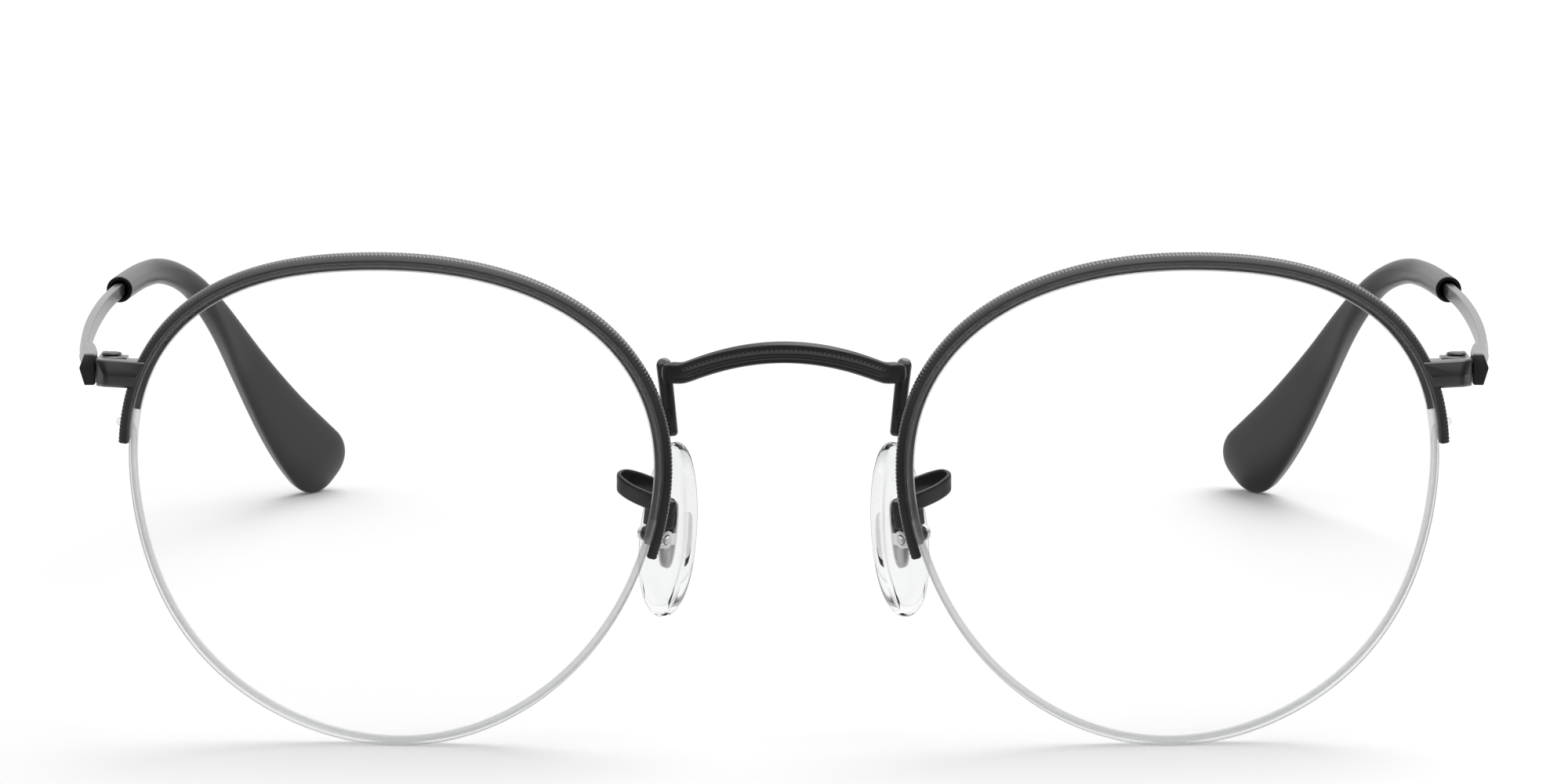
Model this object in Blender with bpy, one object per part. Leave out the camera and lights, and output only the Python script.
"""Half rim eyeglasses, standing on the lens bottoms and the temple tips.

Frame: +Z up, the front faces -Y, the wearer's right side is -X.  The origin is
the centre of the bottom of the whole object's box.  Every length below is in
millimetres and becomes metres where a mesh is made.  Each side piece is built
on the wearer's right and mirrored to the left.
"""
import math

import bmesh
import bpy
import numpy as np
from mathutils import Matrix, Vector

METRES_PER_MM = 0.001

# ---------------------------------------------------------------- main dimensions
LEAN = math.radians(3.3)   # the temples fall this much towards their tips, as it stands
PANTO = math.radians(7.3)  # lens tops forward of square to the temples
WRAP = math.radians(4.0)   # lens planes turned back to the temples
DEPTH_MID = 66.43          # puts the origin in the middle of the depth
GAP = 0.05                 # solder and glue gap

LENS_WIDTH = 48.0          # boxed lens width
LENS_UP = 18.615           # height of the lens above its widest line
LENS_DOWN = 26.318         # depth of the lens below its widest line
LENS_TOP_SHIFT = 0.904     # the top of the outline sits this far to the temporal side
LENS_BOTTOM_SHIFT = -0.412 # and the bottom this far to the nasal side
# corner fullness: top temporal, top nasal, bottom nasal, bottom temporal
LENS_POWERS = (2.388, 2.195, 1.892, 2.109)
LENS_CENTRE = (-35.165, 0.0, 26.068)   # right lens, at its widest line
BASE_RADIUS = 131.0        # front curve of the lens
LENS_THICK = 2.0
STATIONS = 56              # round the whole lens

RIM_OUT = 0.94             # rim band, radially, at its fullest
RIM_HALF = 1.0             # half its depth

HINGE = (-60.7, 7.8, 34.34)            # middle of the right hinge
PAD = (-10.5, 8.5, 19.2)               # middle of the right nose pad
PAD_SPLAY = math.radians(46.0)

# ------------------------------------------------------------------- set-up
for old in list(bpy.data.objects):
    bpy.data.objects.remove(old, do_unlink=True)

parts = bpy.data.collections.new("half_rim_eyeglasses")
tools = bpy.data.collections.new("cutters")
bpy.context.scene.collection.children.link(parts)
bpy.context.scene.collection.children.link(tools)


# ---------------------------------------------------------------------- materials
def material(name, colour, rough, metal, alpha=1.0, transmission=0.0):
    made = bpy.data.materials.new(name)
    made.use_nodes = True
    inputs = made.node_tree.nodes["Principled BSDF"].inputs
    inputs["Base Color"].default_value = (*colour, 1.0)
    inputs["Roughness"].default_value = rough
    inputs["Metallic"].default_value = metal
    inputs["Alpha"].default_value = alpha
    inputs["Transmission Weight"].default_value = transmission
    made.diffuse_color = (*colour, alpha)
    return made


BLACK_METAL = material("satin_black_metal", colour=(0.030, 0.031, 0.031), rough=0.36, metal=0.85)
BLACK_PLASTIC = material("black_acetate", colour=(0.028, 0.028, 0.029), rough=0.42, metal=0.0)
DARK_LINER = material("dark_liner", colour=(0.045, 0.046, 0.046), rough=0.5, metal=0.0)
CLEAR_LENS = material("clear_lens", colour=(1.0, 1.0, 1.0), rough=0.02, metal=0.0,
                      alpha=0.25, transmission=1.0)
CLEAR_PAD = material("clear_pad", colour=(0.95, 0.97, 0.98), rough=0.06, metal=0.0,
                     alpha=0.4, transmission=1.0)
NYLON = material("clear_nylon", colour=(0.86, 0.87, 0.88), rough=0.35, metal=0.0,
                 alpha=0.7, transmission=0.5)
STEEL = material("bare_steel", colour=(0.72, 0.71, 0.69), rough=0.28, metal=1.0)
DARK_STEEL = material("dark_screw", colour=(0.10, 0.10, 0.10), rough=0.3, metal=1.0)


# ------------------------------------------------------------------ shape arithmetic
def unit(vector):
    vector = np.asarray(vector, float)
    return vector / np.linalg.norm(vector)


def square_to(direction, vector):
    """The unit part of a vector that is square to a unit direction."""
    vector = np.asarray(vector, float)
    return unit(vector - direction * (direction @ vector))


def signed_power(value, power):
    return np.copysign(np.abs(value) ** power, value)


def even_angles(sides):
    """Corner angles of a polygon, starting half a side round."""
    return [2 * math.pi * (j + 0.5) / sides for j in range(sides)]


def round_end(fraction):
    """Quarter circle: 0 at the very end, 1 from fraction 1 onwards."""
    return math.sqrt(max(0.0, 1 - (1 - min(1.0, fraction)) ** 2))


def blend(first, last, along, begin, length):
    """Ease from the first value to the last over a length that starts at begin."""
    part = min(1.0, max(0.0, (along - begin) / length))
    return first + (last - first) * part * part * (3 - 2 * part)


def ring_at(point, side, up, outline):
    """An outline of (side, up) pairs placed round a point."""
    return [point + side * a + up * b for a, b in outline]


# ------------------------------------------------------------ frames of reference
def rot_x(angle):
    c, s = math.cos(angle), math.sin(angle)
    return np.array([[1, 0, 0], [0, c, -s], [0, s, c]])


def rot_z(angle):
    c, s = math.cos(angle), math.sin(angle)
    return np.array([[c, -s, 0], [s, c, 0], [0, 0, 1]])


WORLD_UP = np.array([0.0, 0.0, 1.0])
ORIGIN = np.array([0.0, DEPTH_MID, 0.0])
TEMPLE_ROT = rot_x(-LEAN)
LENS_ROT = TEMPLE_ROT @ rot_z(-WRAP) @ rot_x(PANTO)

PAD_UP = unit([0.105, -0.05, 1.0])
PAD_OUT = square_to(PAD_UP, [-math.cos(PAD_SPLAY), -math.sin(PAD_SPLAY), 0.0])
PAD_BACK = np.cross(PAD_OUT, PAD_UP)


def lens_point(temporal, up, forward):
    """A point in the frame of the right lens's centre."""
    return LENS_ROT @ np.array([-temporal, -forward, up]) + np.array(LENS_CENTRE)


def hinge_point(x, y, z):
    """The frame of the right hinge: x inwards, y back along the temple, z up the screw."""
    return TEMPLE_ROT @ np.array([x, y, z]) + np.array(HINGE)


def pad_point(back, up, out):
    """back to the pad's back edge, up its length, out of its arm side."""
    return np.array(PAD) + back * PAD_BACK + up * PAD_UP + out * PAD_OUT


def to_scene(point):
    """Millimetres to a vector in metres from the object's origin."""
    return Vector((np.asarray(point) - ORIGIN) * METRES_PER_MM)


# ------------------------------------------------------------------ the lens outline
def raw_outline(count=1440):
    """Four superellipse quarters; the corners between them are smoothed away later."""
    angle = np.linspace(0, 2 * math.pi, count, endpoint=False)
    cosine, sine = np.cos(angle), np.sin(angle)
    shift = np.where(sine >= 0, LENS_TOP_SHIFT, LENS_BOTTOM_SHIFT)
    height = np.where(sine >= 0, LENS_UP, LENS_DOWN)
    width = np.where(cosine >= 0, LENS_WIDTH / 2 - shift, LENS_WIDTH / 2 + shift)
    top_temporal, top_nasal, bottom_nasal, bottom_temporal = LENS_POWERS
    power = np.where(sine >= 0, np.where(cosine >= 0, top_temporal, top_nasal),
                     np.where(cosine >= 0, bottom_temporal, bottom_nasal))
    return (shift + width * signed_power(cosine, 2 / power),
            height * signed_power(sine, 2 / power))


def smooth_radius(harmonics=7, count=720):
    """The outline's radius against angle, as a short Fourier sum: no corners."""
    across, up = raw_outline()
    raw_angle = np.arctan2(up, across)
    order = np.argsort(raw_angle)
    angle = np.linspace(-math.pi, math.pi, count, endpoint=False)
    radius = np.interp(angle, raw_angle[order], np.hypot(across, up)[order],
                       period=2 * math.pi)
    return [(float((radius * np.cos(k * angle)).mean() * (1 if k == 0 else 2)),
             float((radius * np.sin(k * angle)).mean() * 2))
            for k in range(harmonics + 1)]


RADIUS_TERMS = smooth_radius()   # (cosine, sine) for each harmonic


def edge(degrees):
    """Point and outward normal of the lens edge at an angle (0 temporal, 90 top)."""
    angle = math.radians(degrees)
    cosine, sine = math.cos(angle), math.sin(angle)
    radius = sum(a * math.cos(k * angle) + b * math.sin(k * angle)
                 for k, (a, b) in enumerate(RADIUS_TERMS))
    slope = sum(k * (b * math.cos(k * angle) - a * math.sin(k * angle))
                for k, (a, b) in enumerate(RADIUS_TERMS))
    tangent = (slope * cosine - radius * sine, slope * sine + radius * cosine)
    return np.array([radius * cosine, radius * sine]), unit([tangent[1], -tangent[0]])


def sag(across, up):
    """How far the front curve has fallen back at a point of the lens."""
    return BASE_RADIUS - math.sqrt(BASE_RADIUS ** 2 - across * across - up * up)


def rim_point(degrees, out, forward):
    """out of the lens edge, forward of the middle of its thickness."""
    point, normal = edge(degrees)
    across, up = point + out * normal
    return lens_point(across, up, forward - sag(*point) - LENS_THICK / 2)


STEP = 360.0 / STATIONS


def grid_angles(start, end):
    """The lens's own stations between two angles, with the two ends added."""
    inner = [k * STEP for k in range(-STATIONS, 2 * STATIONS)
             if start + 0.3 * STEP < k * STEP < end - 0.3 * STEP]
    return [start] + inner + [end]


# ------------------------------------------------------------------ mesh helpers
def finish_bmesh(bm, name):
    """Faces turned outwards: the local frames can be left-handed."""
    bmesh.ops.recalc_face_normals(bm, faces=bm.faces)
    if bm.calc_volume(signed=True) < 0:
        bmesh.ops.reverse_faces(bm, faces=bm.faces)
    mesh = bpy.data.meshes.new(name)
    bm.to_mesh(mesh)
    bm.free()
    return mesh


def loft(name, rings):
    """Skin through rings of equal count, capped at both ends."""
    bm = bmesh.new()
    rows = [[bm.verts.new(to_scene(point)) for point in ring] for ring in rings]
    count = len(rows[0])
    for row, following in zip(rows[:-1], rows[1:]):
        for j in range(count):
            k = (j + 1) % count
            bm.faces.new((row[j], row[k], following[k], following[j]))
    bm.faces.new(rows[0][::-1])
    bm.faces.new(rows[-1])
    return finish_bmesh(bm, name)


def loft_round_lens(name, section, start, end):
    """A section of (out, forward) pairs carried along the lens edge."""
    return loft(name, [[rim_point(degrees, out, forward) for out, forward in section]
                       for degrees in grid_angles(start, end)])


def box_mesh(name, low, high, place, bevel=0.0):
    """A cube stretched between two corners of a local frame."""
    bm = bmesh.new()
    bmesh.ops.create_cube(bm, size=1.0)
    low, high = np.array(low, float), np.array(high, float)
    for vert in bm.verts:
        vert.co = Vector((low + (np.array(vert.co) + 0.5) * (high - low)) * METRES_PER_MM)
    if bevel:
        bmesh.ops.bevel(bm, geom=list(bm.edges), offset=bevel * METRES_PER_MM, segments=1,
                        affect="EDGES")
    for vert in bm.verts:
        vert.co = to_scene(place(*(np.array(vert.co) / METRES_PER_MM)))
    return finish_bmesh(bm, name)


def cylinder_mesh(name, radius, foot, top, place, sides=20, top_radius=None):
    """A cylinder or cone along the z axis of a local frame."""
    bm = bmesh.new()
    bmesh.ops.create_cone(bm, cap_ends=True, segments=sides, radius1=radius,
                          radius2=radius if top_radius is None else top_radius,
                          depth=top - foot)
    for vert in bm.verts:
        x, y, z = vert.co
        vert.co = to_scene(place(x, y, z + (foot + top) / 2))
    return finish_bmesh(bm, name)


def add(name, data, collection=parts):
    made = bpy.data.objects.new(name, data)
    collection.objects.link(made)
    return made


def evaluated_mesh(source):
    bpy.context.view_layer.update()
    depsgraph = bpy.context.evaluated_depsgraph_get()
    return bpy.data.meshes.new_from_object(source.evaluated_get(depsgraph))


def combine(name, base, others, operation):
    """One closed mesh from a base and other meshes, by an exact Boolean."""
    body = add(name + "_base", base, tools)
    for i, other in enumerate(others):
        modifier = body.modifiers.new(f"b{i}", "BOOLEAN")
        modifier.operation = operation
        modifier.object = add(f"{name}_tool{i}", other, tools)
        modifier.solver = "EXACT"
    mesh = evaluated_mesh(body)
    mesh.name = name
    for helper in [body] + [modifier.object for modifier in body.modifiers]:
        bpy.data.objects.remove(helper, do_unlink=True)
    bm = bmesh.new()
    bm.from_mesh(mesh)
    bmesh.ops.remove_doubles(bm, verts=bm.verts, dist=1e-7)
    bmesh.ops.dissolve_degenerate(bm, dist=1e-7, edges=bm.edges)
    bm.to_mesh(mesh)
    bm.free()
    return mesh


def bored(name, mesh, radius, place, sides):
    """The mesh with a hole right through it, along the z axis of a local frame."""
    return combine(name, mesh, [cylinder_mesh("bore", radius, -3, 3, place, sides)],
                   "DIFFERENCE")


def slotted_screw(name, shank, head, slot):
    whole = combine(name, shank, [head], "UNION")
    return combine(name, whole, [slot], "DIFFERENCE")


def dress(mesh, surface, sharp_angle=None):
    """One material, and smooth shading up to an angle in degrees if one is given."""
    mesh.materials.clear()  # a Boolean may leave empty slots
    mesh.materials.append(surface)
    if sharp_angle is not None:
        mesh.shade_smooth()
        mesh.set_sharp_from_angle(angle=math.radians(sharp_angle))


def both_sides(stem, mesh, surface, sharp_angle=None):
    """The right piece as built, and its mirror image for the left."""
    dress(mesh, surface, sharp_angle)
    add(stem + "_right", mesh)
    bm = bmesh.new()
    bm.from_mesh(mesh)
    bmesh.ops.scale(bm, vec=(-1.0, 1.0, 1.0), verts=bm.verts)
    bmesh.ops.reverse_faces(bm, faces=bm.faces)
    mirrored = bpy.data.meshes.new(stem + "_left")
    bm.to_mesh(mirrored)
    bm.free()
    mirrored.materials.append(surface)
    add(stem + "_left", mirrored)


# --------------------------------------------------------------------------- lens
LENS_RINGS = (0.45, 0.8)   # mesh rings inside the edge, as shares of its radius
LENS_CHAMFER = 0.12
GROOVE_HALF = 0.34         # half width of the groove at the lens edge
GROOVE_FLOOR_HALF = GROOVE_HALF - 0.05
GROOVE_DEPTH = 0.70


def lens_mesh():
    """A curved disc with chamfered edges and a groove all round."""
    bm = bmesh.new()
    flat_half = LENS_THICK / 2 - LENS_CHAMFER
    # (out, forward) across the edge, front to back
    profile = [(0.0, flat_half), (0.0, GROOVE_HALF), (-GROOVE_DEPTH, GROOVE_FLOOR_HALF),
               (-GROOVE_DEPTH, -GROOVE_FLOOR_HALF), (0.0, -GROOVE_HALF), (0.0, -flat_half)]

    def face_point(point, depth):
        return lens_point(point[0], point[1], -sag(*point) - depth)

    rows = []
    for i in range(STATIONS):
        degrees = 360.0 * i / STATIONS
        point, normal = edge(degrees)
        flat = [point * share for share in LENS_RINGS] + [point - LENS_CHAMFER * normal]
        row = [face_point(spot, 0.0) for spot in flat]
        row += [rim_point(degrees, out, forward) for out, forward in profile]
        row += [face_point(spot, LENS_THICK) for spot in reversed(flat)]
        rows.append([bm.verts.new(to_scene(spot)) for spot in row])
    front = bm.verts.new(to_scene(lens_point(0, 0, 0)))
    back = bm.verts.new(to_scene(lens_point(0, 0, -LENS_THICK)))
    for i, row in enumerate(rows):
        following = rows[(i + 1) % STATIONS]
        bm.faces.new((front, row[0], following[0]))
        for j in range(len(row) - 1):
            bm.faces.new((row[j], row[j + 1], following[j + 1], following[j]))
        bm.faces.new((back, following[-1], row[-1]))
    return finish_bmesh(bm, "lens")


both_sides("lens", lens_mesh(), CLEAR_LENS, 30)

# ---------------------------------------------------------------- rim, liner, cord
# ends of each piece, in degrees round the lens
RIM_FROM, RIM_TO = 4.1, 200.4
LINER_FROM, LINER_TO = 11.75, 192.2
CORD_FROM, CORD_TO = 8.3, 196.4        # the two holes for the cord
CORD_R = 0.28
CORD_HOLE_R = 0.34
CORD_SEAT = -0.36                      # the cord's middle in the groove, out of the lens edge

# (out, forward): the band, then the channel in its inner face
RIM_SECTION = [(0.06, RIM_HALF), (0.62, RIM_HALF), (0.84, RIM_HALF - 0.20),
               (RIM_OUT, RIM_HALF - 0.60), (0.90, -0.10), (0.74, -0.66),
               (0.58, -RIM_HALF), (0.06, -RIM_HALF),
               (0.06, -0.42), (0.52, -0.42), (0.52, 0.42), (0.06, 0.42)]
LINER_SECTION = [(-0.60, 0.20), (0.46, 0.25), (0.46, -0.25), (-0.60, -0.20)]


def cord_hole(degrees):
    """A short round cutter out through the rim, square to the lens edge."""
    foot, top = rim_point(degrees, 0.3, 0.0), rim_point(degrees, 1.6, 0.0)
    axis = unit(top - foot)
    across = unit(np.cross(axis, [0.0, 1.0, 0.0]))
    third = np.cross(axis, across)
    return cylinder_mesh("hole", CORD_HOLE_R, 0.0, float(np.linalg.norm(top - foot)),
                         lambda x, y, z: foot + across * x + third * y + axis * z, 12)


def rim_mesh():
    band = loft_round_lens("rim", RIM_SECTION, RIM_FROM, RIM_TO)
    return combine("rim", band, [cord_hole(CORD_FROM), cord_hole(CORD_TO)], "DIFFERENCE")


def cord_mesh():
    """A round cord with a melted bead at each end, through both holes and round the groove."""
    thin = CORD_R - 0.03
    # one end, bead first: degrees past the hole, out of the lens edge, cord radius
    end = [(0.0, 1.36, 0.22), (0.0, 1.32, 0.33), (0.0, 1.16, 0.38), (0.0, 1.04, 0.33),
           (0.0, 0.98, thin), (0.0, 0.40, thin), (0.5, 0.06, thin),
           (1.6, CORD_SEAT + 0.14, thin)]
    far = CORD_TO - 360.0
    path = [(CORD_FROM - turn, out, radius) for turn, out, radius in end]
    path += [(-k * STEP, CORD_SEAT, CORD_R) for k in range(STATIONS)
             if far + 3.5 < -k * STEP < CORD_FROM - 3.5]
    path += [(far + turn, out, radius) for turn, out, radius in reversed(end)]

    curve = bpy.data.curves.new("nylon_cord", "CURVE")
    curve.dimensions = "3D"
    curve.bevel_depth = METRES_PER_MM  # so a point's radius is in millimetres
    curve.bevel_resolution = 1
    curve.resolution_u = 1
    curve.render_resolution_u = 0
    curve.use_fill_caps = True
    spline = curve.splines.new("POLY")
    spline.points.add(len(path) - 1)
    for point, (degrees, out, radius) in zip(spline.points, path):
        point.co = (*to_scene(rim_point(degrees, out, 0.0)), 1.0)
        point.radius = radius
    guide = add("cord_guide", curve, tools)
    mesh = evaluated_mesh(guide)
    bpy.data.objects.remove(guide, do_unlink=True)
    bm = bmesh.new()
    bm.from_mesh(mesh)
    bmesh.ops.remove_doubles(bm, verts=bm.verts, dist=1e-6)
    bmesh.ops.recalc_face_normals(bm, faces=bm.faces)
    bm.to_mesh(mesh)
    bm.free()
    return mesh


both_sides("rim", rim_mesh(), BLACK_METAL, 35)
both_sides("rim_liner", loft_round_lens("rim_liner", LINER_SECTION, LINER_FROM, LINER_TO),
           DARK_LINER)
both_sides("nylon_cord", cord_mesh(), NYLON, 60)

# ------------------------------------------------------------------------- bridge
BRIDGE_HALF = 10.85        # half span of the bar
BRIDGE_TOP = 37.15         # height of the bar's middle at the symmetry plane
BRIDGE_DROP = 2.30         # the most that the bar falls towards its ends
BRIDGE_SOFTNESS = 8.0      # higher is a sharper turn from the arch to the level ends
BRIDGE_Y = -1.55
BRIDGE_STATIONS = 29
BRIDGE_ROUND = 1.0         # length of each rounded end
BRIDGE_SECTION = [(0.55, 0.94), (-0.45, 0.94), (-0.75, 0.55), (-0.75, -0.55),
                  (-0.45, -0.94), (0.55, -0.94), (0.75, -0.70), (0.75, 0.70)]  # (back, up)


def bridge_middle(x):
    """The bar's middle line: an arch whose drop is held to BRIDGE_DROP by a soft minimum."""
    arch = 2.05 * (abs(x) / 8.5) ** 2
    drop = -math.log(math.exp(-BRIDGE_SOFTNESS * arch)
                     + math.exp(-BRIDGE_SOFTNESS * BRIDGE_DROP)) / BRIDGE_SOFTNESS
    back = 2.75 * (abs(x) / 10.0) ** 2
    return np.array([x, BRIDGE_Y + back, BRIDGE_TOP - drop])


def bridge_mesh():
    rings = []
    for i in range(BRIDGE_STATIONS):
        # stations crowd towards the ends
        x = BRIDGE_HALF * math.sin(math.pi / 2 * (2 * i / (BRIDGE_STATIONS - 1) - 1))
        tangent = unit(bridge_middle(x + 0.01) - bridge_middle(x - 0.01))
        up = square_to(tangent, WORLD_UP)
        back = np.cross(up, tangent)
        size = 0.28 + 0.72 * round_end((BRIDGE_HALF - abs(x)) / BRIDGE_ROUND)
        rings.append(ring_at(bridge_middle(x), back * size, up * size, BRIDGE_SECTION))
    return loft("bridge", rings)


bridge = bridge_mesh()
dress(bridge, BLACK_METAL, 35)
add("bridge", bridge)

# posts behind the nose side of each rim, which the bar's ends are soldered to
POST_TOP = np.array([-BRIDGE_HALF, 3.08, 35.85])
POST_FOOT = np.array([-10.10, 3.22, 28.75])
POST_WIDE, POST_DEEP = 0.72, 0.56      # half sizes at the top
POST_TAPER = 0.12                      # lost from the half width by the foot
POST_STATIONS = 9


def post_mesh():
    length = float(np.linalg.norm(POST_FOOT - POST_TOP))
    down = unit(POST_FOOT - POST_TOP)
    across = square_to(down, [1.0, 0.0, 0.0])
    back = np.cross(across, down)
    outline = [(signed_power(math.cos(angle), 0.7), signed_power(math.sin(angle), 0.7))
               for angle in even_angles(10)]
    rings = []
    for i in range(POST_STATIONS):
        share = i / (POST_STATIONS - 1)
        along = length * (1 - math.cos(math.pi * share)) / 2
        size = 0.30 + 0.70 * round_end(along / 0.7)
        size *= 0.55 + 0.45 * round_end((length - along) / 0.35)
        wide = (POST_WIDE - POST_TAPER * share) * size
        rings.append(ring_at(POST_TOP + down * along, across * wide,
                             back * POST_DEEP * size, outline))
    return loft("bridge_post", rings)


both_sides("bridge_post", post_mesh(), BLACK_METAL, 50)

# --------------------------------------------------------------------------- hinge
KNUCKLE_R = 1.12
KNUCKLE_MID = 0.5          # half height of the temple's knuckle
KNUCKLE_PLAY = 0.06        # between the knuckles
BLOCK_HALF = 1.22          # half height of the end piece's block
BLOCK_BACK = -1.75         # its back face
BLOCK_CHAMFER = 0.12
EAR_TOP, EAR_FOOT = 0.99, -1.45        # the outer knuckles, nearly flush with the block
SCREW_R = 0.55
SCREW_HOLE_R = 0.62
SKIM = 0.003               # keeps faces that would coincide apart in the Booleans
# x, front face, how far the edges stand behind the lower ridge of the front
BLOCK_STATIONS = ((4.2, -5.45, 0.30), (0.0, -4.75, 0.30), (-0.45, -4.45, 0.12),
                  (-1.15, -3.55, 0.0))


def block_ring(x, front, ridge):
    half = BLOCK_HALF
    top_front, low_front = front + ridge, front + ridge * 1.6
    shift = -0.2 - 0.04 * (x + 1.15)   # the block falls a little towards the rim
    section = ((BLOCK_BACK + 0.15, half - BLOCK_CHAMFER), (BLOCK_BACK, half),
               (top_front + 0.15, half), (top_front, half - BLOCK_CHAMFER), (front, -0.10),
               (low_front, -half + 0.25), (low_front + 0.3, -half),
               (BLOCK_BACK, -half), (BLOCK_BACK + 0.15, -half + BLOCK_CHAMFER))
    return [hinge_point(x, y, z + shift) for y, z in section]


def end_piece_mesh():
    """A block lofted from the rim out to its corner, then two knuckles behind it."""
    block = loft("end_piece", [block_ring(*station) for station in BLOCK_STATIONS])
    # a sleeve round the rim band keeps the block clear of it
    front, out = RIM_HALF + GAP, RIM_OUT + GAP
    clearance = [(-3.0, 3.2), (0.80, 3.2), (0.30, front), (out, front), (out, -5.0),
                 (-3.0, -5.0)]
    sleeve = loft_round_lens("sleeve", clearance, 6.5, 40.0)
    block = combine("end_piece", block, [sleeve], "DIFFERENCE")
    ears = []
    for foot, top in ((KNUCKLE_MID + KNUCKLE_PLAY, EAR_TOP),
                      (EAR_FOOT, -KNUCKLE_MID - KNUCKLE_PLAY)):
        ears.append(cylinder_mesh("ear", KNUCKLE_R, foot, top, hinge_point))
        ears.append(box_mesh("web", (-1.02, -2.6, foot + SKIM), (1.50, 0.30, top - SKIM),
                             hinge_point))
    block = combine("end_piece", block, ears, "UNION")
    return bored("end_piece", block, SCREW_HOLE_R, hinge_point, 16)


def hinge_screw_mesh():
    shank = cylinder_mesh("hinge_screw", SCREW_R, EAR_FOOT + 0.1, EAR_TOP + 0.15,
                          hinge_point, 16)
    head = cylinder_mesh("head", 0.90, EAR_TOP + GAP, EAR_TOP + 0.31, hinge_point,
                         top_radius=0.78)
    slot = box_mesh("slot", (-1.2, -0.13, EAR_TOP + 0.17), (1.2, 0.13, EAR_TOP + 1.0),
                    hinge_point)
    return slotted_screw("hinge_screw", shank, head, slot)


def temple_hinge_mesh():
    """The leaf on the temple's inner face, its tongue and the middle knuckle."""
    leaf = box_mesh("temple_hinge", (-1.24, 1.5, -1.25), (-0.72, 5.4, 0.80), hinge_point, 0.12)
    tongue = box_mesh("tongue", (-1.235, -0.9, -KNUCKLE_MID), (-0.45, 2.2, KNUCKLE_MID),
                      hinge_point)
    barrel = cylinder_mesh("barrel", KNUCKLE_R - 0.02, -KNUCKLE_MID + SKIM,
                           KNUCKLE_MID - SKIM, hinge_point)
    whole = combine("temple_hinge", leaf, [tongue, barrel], "UNION")
    return bored("temple_hinge", whole, SCREW_HOLE_R, hinge_point, 16)


both_sides("end_piece", end_piece_mesh(), BLACK_METAL, 30)
both_sides("hinge_screw", hinge_screw_mesh(), DARK_STEEL, 40)
both_sides("temple_hinge", temple_hinge_mesh(), BLACK_METAL, 30)

# ------------------------------------------------------------------ temple and tip
# places along the temple are measured back from the hinge
TEMPLE_X = -2.01           # middle of the temple at the hinge, in the hinge's frame
TEMPLE_END = 135.3
HINGE_OFFSET = 0.45        # the thinner bar moves outwards by this behind the hinge
WIDEST_AT = 52.2           # where the temples stand furthest apart
BOW_FRONT, BOW_BACK = 0.00085, 0.00168   # sideways bow before and behind that
TURN_IN_AT, TURN_IN_LENGTH = 78.2, 15.6
TURN_IN_SLOPE = 0.383      # sideways per millimetre, at the tip

BEND_AT = 86.2
BEND_R = 22.67
BEND = math.radians(30.8)

# half heights and half widths of the bar
BAR_HALF_HINGE, BAR_HALF_NECK, BAR_HALF_BACK = 1.42, 1.02, 0.70
BAR_WIDE_HINGE, BAR_WIDE = 0.72, 0.46
BAR_STATIONS = (8.0, 11, 14, 20, 28, 36, 44, 52, 60, 67.5)

CORE_FROM, CORE_END = 70.0, 110.0
CORE_R = 0.55
CORE_STEPS = 12
# one angle for each point of the bar's outline, so that the two skins join
CORE_ANGLES = [math.radians(degrees) for degrees in (28, 62, 128, 180, 232, 298, 332)]

TIP_FROM = 68.7
TIP_SIDES = 12
TIP_R = 1.27               # half size of the tip at its mouth
TIP_TWIST = math.radians(38.8)
TIP_LOW, TIP_UP = 8.0, -0.7            # the end's lower and upper edges, from the temple's line
TIP_THICK = 1.11
TIP_ROUND = 4.6            # length of the rounded end
TIP_STATIONS = (69.3, 76, 82, 86, 89.5, 93, 96.5, 100, 103.5, 107, 110.5, 114, 117.5, 121,
                124.5, 128, 131, 132.6, 133.8, 134.7, 135.25, TEMPLE_END)
BORE_R = CORE_R + 0.17
BORE_MOUTH_R = 1.02
BORE_STATIONS = (107, 103.5, 100, 96.5, 93, 89.5, 86, 82, 76, 71.6)


def side_slope(along):
    """How far the temple runs inwards per millimetre: out first, then in."""
    if along < TURN_IN_AT:
        bow = BOW_FRONT if along < WIDEST_AT else BOW_BACK
        return 2 * bow * (along - WIDEST_AT)
    start = 2 * BOW_BACK * (TURN_IN_AT - WIDEST_AT)
    return blend(start, TURN_IN_SLOPE, along, TURN_IN_AT, TURN_IN_LENGTH)


def temple_path(along, steps=240):
    """Point, tangent and upward normal in the hinge's frame."""
    step = max(along, 0.0) / steps
    x = TEMPLE_X - blend(0.0, HINGE_OFFSET, along, 0.0, 14.0)
    x += sum(side_slope((i + 0.5) * step) for i in range(steps)) * step
    turn = min(max(along - BEND_AT, 0.0) / BEND_R, BEND)
    beyond = max(0.0, along - BEND_AT - BEND_R * BEND)
    y = min(along, BEND_AT) + BEND_R * math.sin(turn) + beyond * math.cos(turn)
    z = -BEND_R * (1 - math.cos(turn)) - beyond * math.sin(turn)
    tangent = unit([side_slope(max(along, 0.0)), math.cos(turn), -math.sin(turn)])
    return np.array([x, y, z]), tangent, square_to(tangent, [0, math.sin(turn), math.cos(turn)])


def temple_ring(along, outline, twist=0.0):
    """outline: (inward, up) pairs round the path."""
    point, tangent, up = temple_path(along)
    inward = np.cross(tangent, up)
    cosine, sine = math.cos(twist), math.sin(twist)
    ring = ring_at(point, inward * cosine - up * sine, up * cosine + inward * sine, outline)
    return [hinge_point(*spot) for spot in ring]


def bar_outline(inner, outer, half, cut):
    """A flat inner face and an outer face with a ridge near mid height."""
    return [(inner, half * 0.92), (inner - 0.12, half), (-outer + cut, half),
            (-outer, 0.1 * half), (-outer + cut, -half), (inner - 0.12, -half),
            (inner, -half * 0.92)]


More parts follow.
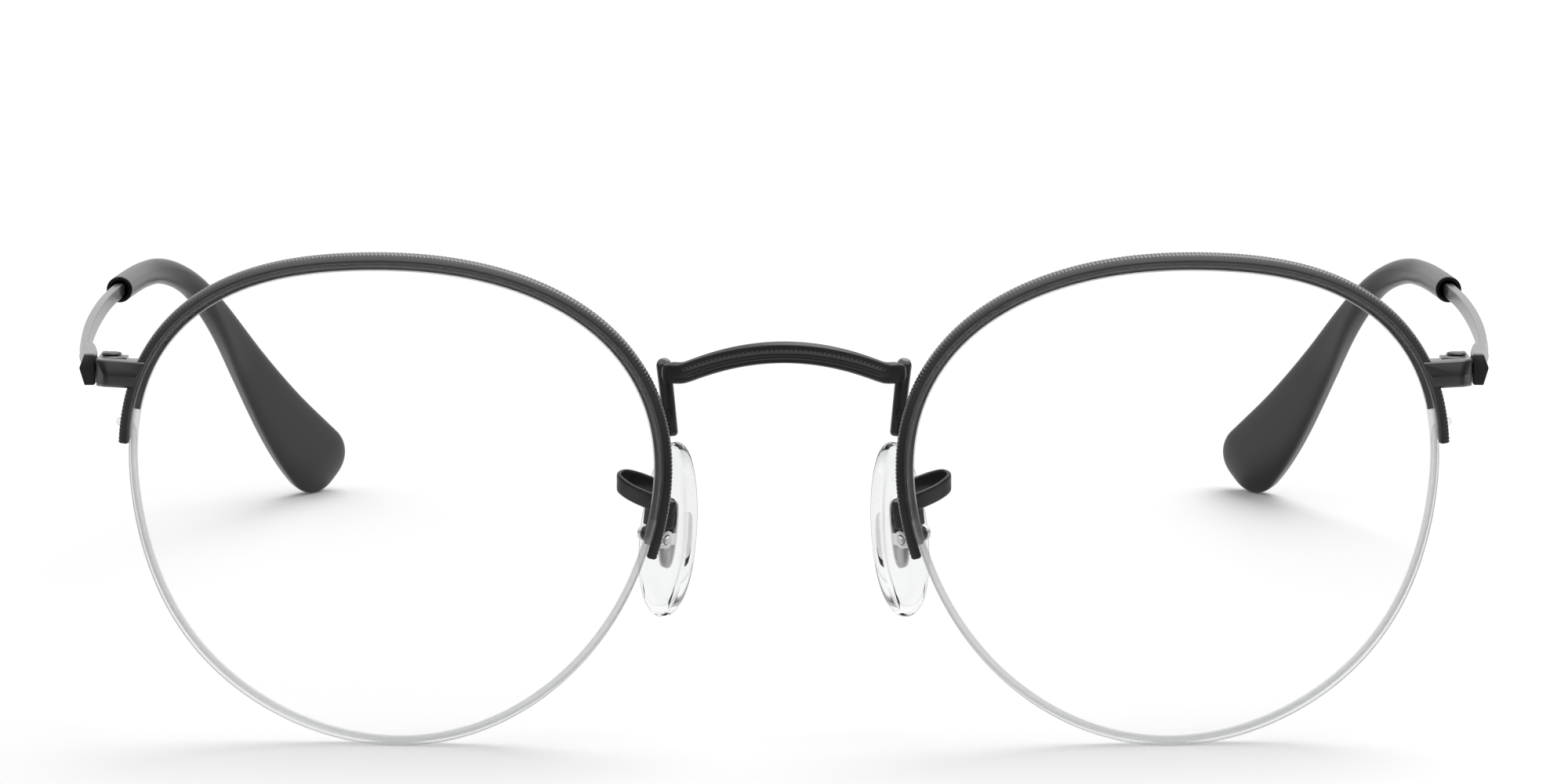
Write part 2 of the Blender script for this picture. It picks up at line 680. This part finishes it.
def tip_size(along):
    """Middle height, half height, half thickness, twist of the broad face, squareness."""
    low = blend(TIP_R, TIP_LOW, along, 94.6, 38.6)
    up = blend(TIP_R, TIP_UP, along, 89.5, 35.6)
    thick = blend(TIP_R, TIP_THICK, along, 96.0, 20.0)
    closing = round_end((TEMPLE_END - along) / TIP_ROUND)
    return ((up - low) / 2, (up + low) / 2 * (0.12 + 0.88 * closing),
            thick * (0.3 + 0.7 * closing), blend(0.0, TIP_TWIST, along, 92.0, 20.0),
            blend(2.0, 4.2, along, 92.0, 18.0))


def core_ring(along, radius, angles):
    """A round ring about the middle of the tip's section."""
    middle, _, _, twist, _ = tip_size(along)
    return temple_ring(along, [(radius * math.cos(angle), radius * math.sin(angle) + middle)
                               for angle in angles], twist)


def tip_ring(along, scale=1.0):
    middle, half, thick, twist, power = tip_size(along)
    return temple_ring(along, [(scale * thick * signed_power(math.cos(angle), 2 / power),
                                scale * half * signed_power(math.sin(angle), 2 / power) + middle)
                               for angle in even_angles(TIP_SIDES)], twist)


def temple_mesh():
    """The flat bar, then the core wire, which starts inside the mouth of the tip."""
    rings = [temple_ring(-3.05, bar_outline(0.60, 0.60, 1.30, 0.40))]
    full = bar_outline(0.71, BAR_WIDE_HINGE, BAR_HALF_HINGE, 0.47)
    rings += [temple_ring(along, full) for along in (-2.90, 0.0, 5.5)]
    for along in BAR_STATIONS:
        half = blend(BAR_HALF_HINGE, BAR_HALF_NECK, along, 5.5, 6.0)
        half += (BAR_HALF_BACK - BAR_HALF_NECK) * min(1.0, (along - 8) / 52.0)
        wide = blend(BAR_WIDE_HINGE, BAR_WIDE, along, 5.5, 6.0)
        cut = blend(0.47, 0.17, along, 5.5, 6.0)
        rings.append(temple_ring(along, bar_outline(wide, wide, half, cut)))
    for i in range(CORE_STEPS + 1):
        along = CORE_FROM + i * (CORE_END - CORE_FROM) / CORE_STEPS
        rings.append(core_ring(along, CORE_R, CORE_ANGLES))
    return loft("temple", rings)


def tip_mesh():
    """A blind bore for the core wire, out to the open mouth, then the outer skin."""
    angles = even_angles(TIP_SIDES)
    rings = [core_ring(CORE_END + 1.0, BORE_R * 0.9, angles)]
    rings += [core_ring(along, BORE_R, angles) for along in BORE_STATIONS]
    rings += [core_ring(along, BORE_MOUTH_R, angles) for along in (70.6, TIP_FROM)]
    rings.append(tip_ring(TIP_FROM, 0.90))
    rings += [tip_ring(along) for along in TIP_STATIONS]
    return loft("temple_tip", rings)


both_sides("temple", temple_mesh(), BLACK_METAL, 25)
both_sides("temple_tip", tip_mesh(), BLACK_PLASTIC, 40)

# -------------------------------------------------------------- pad, insert, box, arm
PAD_LONG = 16.3
PAD_WIDE = 6.5
PAD_AXIS_UP, PAD_AXIS_OUT = -0.35, 1.95   # the pad screw, in the pad's own frame
PAD_MOUNT = -0.8           # the insert and box sit this far towards the front edge
PAD_BOX_TOP = 3.25
# out of the arm side, share of the full outline
PAD_LAYERS = ((-1.0, 0.62), (-0.72, 0.88), (-0.3, 1.0), (0.25, 0.98), (0.68, 0.84),
              (0.9, 0.62))


def axis_point(x, y, z):
    """Local z back along the pad screw, x up the pad, y out, from the middle of the mount."""
    return pad_point(PAD_MOUNT + z, PAD_AXIS_UP + x, PAD_AXIS_OUT + y)


def mount_box(name, low, high, bevel=0.0):
    """A box between (back, up, out) corners, with back measured from the mount."""
    shift = np.array([PAD_MOUNT, 0.0, 0.0])
    return box_mesh(name, low + shift, high + shift, pad_point, bevel)


def pad_outline(share):
    """A long oval, a little fuller at its lower end, drawn in evenly as share falls."""
    inset = (1 - share) * PAD_WIDE / 2
    outline = []
    for angle in even_angles(24):
        cosine, sine = math.cos(angle), math.sin(angle)
        outline.append((PAD_WIDE / 2 * cosine * (1.0 - 0.10 * sine) - inset * cosine,
                        PAD_LONG / 2 * signed_power(sine, 0.94) - inset * sine))
    return outline


def pad_mesh():
    """The pad, with a pocket for the insert."""
    solid = loft("nose_pad", [[pad_point(back, up, out) for back, up in pad_outline(share)]
                              for out, share in PAD_LAYERS])
    pocket = mount_box("pocket", (-1.13, -3.55, 0.42), (1.13, 3.5, 2.0))
    return combine("nose_pad", solid, [pocket], "DIFFERENCE")


def insert_mesh():
    """The plate in the pocket and the ringed tab on it for the screw."""
    plate = mount_box("pad_insert", (-1.05, -3.45, 0.50), (1.05, 3.4, 0.86), 0.10)
    tab = mount_box("tab", (-1.02, PAD_AXIS_UP - 0.55, 0.7),
                    (-0.48, PAD_AXIS_UP + 0.55, PAD_AXIS_OUT))
    ring = cylinder_mesh("ring", 0.85, -1.025, -0.475, axis_point)
    whole = combine("pad_insert", plate, [tab, ring], "UNION")
    return bored("pad_insert", whole, 0.48, axis_point, 14)


def pad_box_mesh():
    """The block on the arm and, under it, the lug that the pad screw goes through."""
    block = mount_box("pad_box", (-1.30, 0.68, 1.42), (1.30, PAD_BOX_TOP, 2.95), 0.18)
    lug = mount_box("lug", (-0.38, PAD_AXIS_UP - 0.80, 1.30), (1.20, 1.2, 2.62), 0.10)
    boss = cylinder_mesh("boss", 0.72, 0.9, 1.62, axis_point, 18)
    whole = combine("pad_box", block, [lug, boss], "UNION")
    return bored("pad_box", whole, 0.47, axis_point, 14)


def pad_screw_mesh():
    shank = cylinder_mesh("pad_screw", 0.40, -1.25, 1.8, axis_point, 14)
    head = cylinder_mesh("head", 0.74, 1.62 + GAP, 2.15, axis_point, 18)
    slot = box_mesh("slot", (-1.0, -0.11, 1.95), (1.0, 0.11, 2.8), axis_point)
    return slotted_screw("pad_screw", shank, head, slot)


ARM_FOOT_DEG = 189.5       # where the arm is soldered behind the rim
ARM_SECTION = ((0.22, 0.66), (0.12, 0.78), (-0.12, 0.78), (-0.22, 0.66),
               (-0.22, -0.66), (-0.12, -0.78), (0.12, -0.78), (0.22, -0.66))  # (side, up)
ARM_LOOP = ((-13.9, 5.6, 23.2), (-14.9, 7.0, 23.8), (-14.4, 8.3, 24.0), (-13.2, 8.1, 23.8))


def spline_through(points, per):
    """Catmull-Rom through the points."""
    padded = [2 * points[0] - points[1]] + points + [2 * points[-1] - points[-2]]
    path = []
    for a, b, c, d in zip(padded, padded[1:], padded[2:], padded[3:]):
        for k in range(per):
            part = k / per
            path.append(0.5 * (2 * b + (c - a) * part + (2 * a - 5 * b + 4 * c - d) * part ** 2
                               + (-a + 3 * b - 3 * c + d) * part ** 3))
    return path + [points[-1]]


def arm_mesh():
    """A flat strip from behind the rim, round a loop and over the top of the pad box."""
    behind_rim = -RIM_HALF - GAP
    over_box = PAD_BOX_TOP + GAP
    path = spline_through([rim_point(ARM_FOOT_DEG, 0.45, behind_rim - 0.24),
                           rim_point(ARM_FOOT_DEG, -0.9, behind_rim - 0.75),
                           *[np.array(point) for point in ARM_LOOP],
                           pad_point(PAD_MOUNT + 0.75, over_box + 0.88, 2.15),
                           pad_point(PAD_MOUNT - 0.75, over_box + 0.80, 2.25)], per=4)
    rings = []
    for i, point in enumerate(path):
        tangent = unit(path[min(i + 1, len(path) - 1)] - path[max(i - 1, 0)])
        up = square_to(tangent, WORLD_UP)
        rings.append(ring_at(point, np.cross(tangent, up), up, ARM_SECTION))
    return loft("pad_arm", rings)


both_sides("nose_pad", pad_mesh(), CLEAR_PAD, 40)
both_sides("pad_insert", insert_mesh(), STEEL, 30)
both_sides("pad_box", pad_box_mesh(), BLACK_METAL, 30)
both_sides("pad_screw", pad_screw_mesh(), STEEL, 40)
both_sides("pad_arm", arm_mesh(), BLACK_METAL, 40)


# ------------------------------------------------------- the pivots of the moving pieces
def pivot(name, point, children):
    """An empty on a joint's axis that its moving pieces hang from, left where they are."""
    empty = add(name, None)
    empty.location = to_scene(point)
    empty.empty_display_size = 0.004
    for child_name in children:
        child = bpy.data.objects[child_name]
        child.parent = empty
        child.matrix_parent_inverse = Matrix.Translation(-empty.location)


for side, sign in (("right", 1.0), ("left", -1.0)):
    flip = np.array([sign, 1.0, 1.0])
    pivot("fold_axis_" + side, hinge_point(0, 0, 0) * flip,
          ["temple_" + side, "temple_hinge_" + side, "temple_tip_" + side])
    pivot("pad_axis_" + side, axis_point(0, 0, 0) * flip,
          ["nose_pad_" + side, "pad_insert_" + side])
